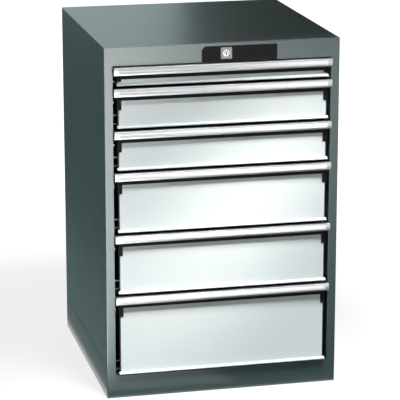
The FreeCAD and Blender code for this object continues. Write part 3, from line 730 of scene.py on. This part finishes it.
def flag(name, corners):
    """Black flag that only holds lamp light off the object's top."""
    material = bpy.data.materials.new(name)
    material.use_nodes = True
    shader = material.node_tree.nodes["Principled BSDF"]
    shader.inputs["Base Color"].default_value = (0, 0, 0, 1)
    plane = stage_plane(name, corners, material)
    plane.visible_camera = False
    plane.visible_diffuse = False
    plane.visible_glossy = False
    plane.visible_transmission = False


def aim(thing, place, target):
    """Puts a lamp at a place with its -Z pointing at the target."""
    thing.location = place
    direction = Vector(target) - Vector(place)
    thing.rotation_euler = direction.to_track_quat("-Z", "Y").to_euler()


def lamp(name, place, target, width, height, power):
    """Rectangular soft box."""
    data = bpy.data.lights.new(name, "AREA")
    data.shape = "RECTANGLE"
    data.size, data.size_y = width, height
    data.energy = power
    thing = bpy.data.objects.new(name, data)
    bpy.context.scene.collection.objects.link(thing)
    aim(thing, place, target)
    return thing


def beam(name, place, target, angle, power):
    """Soft-edged spotlight, given its full angle in degrees."""
    data = bpy.data.lights.new(name, "SPOT")
    data.spot_size = math.radians(angle)
    data.spot_blend = 1.0
    data.shadow_soft_size = 0.12
    data.color = 1.0, 0.9, 0.9
    data.energy = power
    thing = bpy.data.objects.new(name, data)
    bpy.context.scene.collection.objects.link(thing)
    aim(thing, place, target)
    thing.visible_glossy = False


def studio():
    """White world where the background shows, and a dim one for everything that it lights."""
    world = bpy.data.worlds.new("studio")
    bpy.context.scene.world = world
    world.use_nodes = True
    nodes, links = world.node_tree.nodes, world.node_tree.links
    background = nodes["Background"]
    mix = nodes.new("ShaderNodeMix")
    mix.data_type = "RGBA"
    mix.inputs[6].default_value = (WORLD_LIGHT, WORLD_LIGHT, WORLD_LIGHT, 1)
    mix.inputs[7].default_value = (1, 1, 1, 1)
    links.new(background_rays(nodes, links), mix.inputs[0])
    links.new(mix.outputs[2], background.inputs["Color"])


def camera():
    """Camera at the photograph's angle."""
    data = bpy.data.cameras.new("camera")
    data.lens, data.sensor_width = 185.6, 36
    thing = bpy.data.objects.new("camera", data)
    bpy.context.scene.collection.objects.link(thing)
    thing.location = (-1.129, -4.843, 1.719)
    thing.rotation_euler = (math.pi / 2 - 0.259, 0, -0.231)
    bpy.context.scene.camera = thing


NEAR_LIFT = 0.83
WORLD_LIGHT = 0.08
LOW = 0.004

bpy.context.scene.view_settings.view_transform = "Standard"
camera()
floor()
studio()
lamp("key", (0.5, -2.15, 6.3), (0, -0.28, 0.5), 1.2, 2.0, 1150)
lamp("fill", (0.5, -2.6, 0.25), (0, -0.28, 0.1), 1.2, 0.4, 5.5).visible_glossy = False
lamp("rear", (1.9, 4.4, 2.4), (0, 0.2, 0.5), 1.2, 1.0, 60).visible_glossy = False
beam("beam", (1.40, -1.18, 2.18), (0.01, -0.28, 0.43), 11, 520)
card("left_card", [(0.3, -6, 3 * LOW), (0.94, -6, 3 * LOW), (-0.3, -0.4, 3 * LOW), (-0.8, -0.4, 3 * LOW)], 9.5)
card("far_card", [(0.3, -10, 2 * LOW), (1.9, -10, 2 * LOW), (0.95, -4.45, 2 * LOW), (0.4, -4.45, 2 * LOW)], 6.0)
card("header_card", [(-0.3, -2.6, 0.28), (0.42, -2.6, 0.28), (0.42, -2.6, 0.62), (-0.3, -2.6, 0.62)], 9.0)
card("front_flag", [(0.6, -4.45, LOW / 2), (4, -4.45, LOW / 2), (4, -0.3, LOW / 2), (-0.5, -0.3, LOW / 2)], 0.25)
card("near_flag", [(-0.4, -1.5, 2 * LOW), (1.5, -1.5, 2 * LOW), (1.5, -0.3, 2 * LOW), (-0.4, -0.3, 2 * LOW)], 0.02)
card("foot_flag", [(-0.3, -0.4, LOW / 4), (0.7, -0.4, LOW / 4), (0.7, -0.287, LOW / 4), (-0.3, -0.287, LOW / 4)], 0.01)
card("foot_card", [(-0.34, -0.7, 2.5 * LOW), (-0.24, -0.7, 2.5 * LOW), (0.04, -0.3, 2.5 * LOW), (-0.34, -0.3, 2.5 * LOW)], 0.6)
card("front_grey", [(-4, -8.2, 0.8), (5, -8.2, 0.8), (5, -8.2, 9), (-4, -8.2, 9)], 0.3)
card("side_wall_flag", [(-8, -1, 0), (-2.5, 8, 0), (-2.5, 8, 6), (-8, -1, 6)], 0.02, 0.5)
card("side_flag", [(-4, -0.8, LOW), (-0.5, -0.8, LOW), (-0.5, 8, LOW), (-4, 8, LOW)], 0.1, 0.6)
card("side_card", [(-0.5, -0.8, LOW), (-0.29, -0.8, LOW), (-0.29, 8, LOW), (-0.5, 8, LOW)], 0.22, 0.7)
card("back_card", [(-4, 4.2, 0.3), (2, 4.2, 0.3), (2, 4.2, 4), (-4, 4.2, 4)], 0.64, 0.8)
card("back_flag", [(0.87, 4, 0), (8, 4, 0), (8, 4, 8), (0.87, 4, 8)], 0.01)

flag("top_flag", [(-0.5, -0.66, 1.5), (0.55, -0.56, 1.5), (0.55, 0.35, 1.5), (-0.5, 0.35, 1.5)])

side_wall("left")
side_wall("right")
top_panel()
header_panel()
keep("back_wall", HOUSING_PAINT, 0.2 * MM)
keep("base_pan", HOUSING_PAINT, 0.15 * MM)
keep("guide_columns", COLUMN_PAINT, 0.3 * MM)
for side in ("left", "right"):
    keep(f"{side}_cabinet_rails", RAIL_STEEL, 0.3 * MM)
for number in DRAWERS:
    handle(number)
    label_strip(number)
    front_panel(number)
    tray(number)
    # Brackets are real plastic end pieces. The black strip between them is partly a backing and partly painted shade
    # for the dark gap beneath the handle.
    keep(f"drawer_{number}_handle_brackets", BLACK_PLASTIC_AND_PAINTED_SHADE, 0.4 * MM)
    keep(f"drawer_{number}_runners", RAIL_STEEL, 0.3 * MM)
    keep(f"drawer_{number}_middle_rails", RAIL_STEEL, 0.3 * MM)
lock_plate()
lock_escutcheon()
lock_cylinder()
for name in ("lock_body", "lock_cam", "lock_link", "lock_bar", "lock_fingers", "lock_bar_guides"):
    keep(name, LOCK_STEEL, 0.15 * MM)
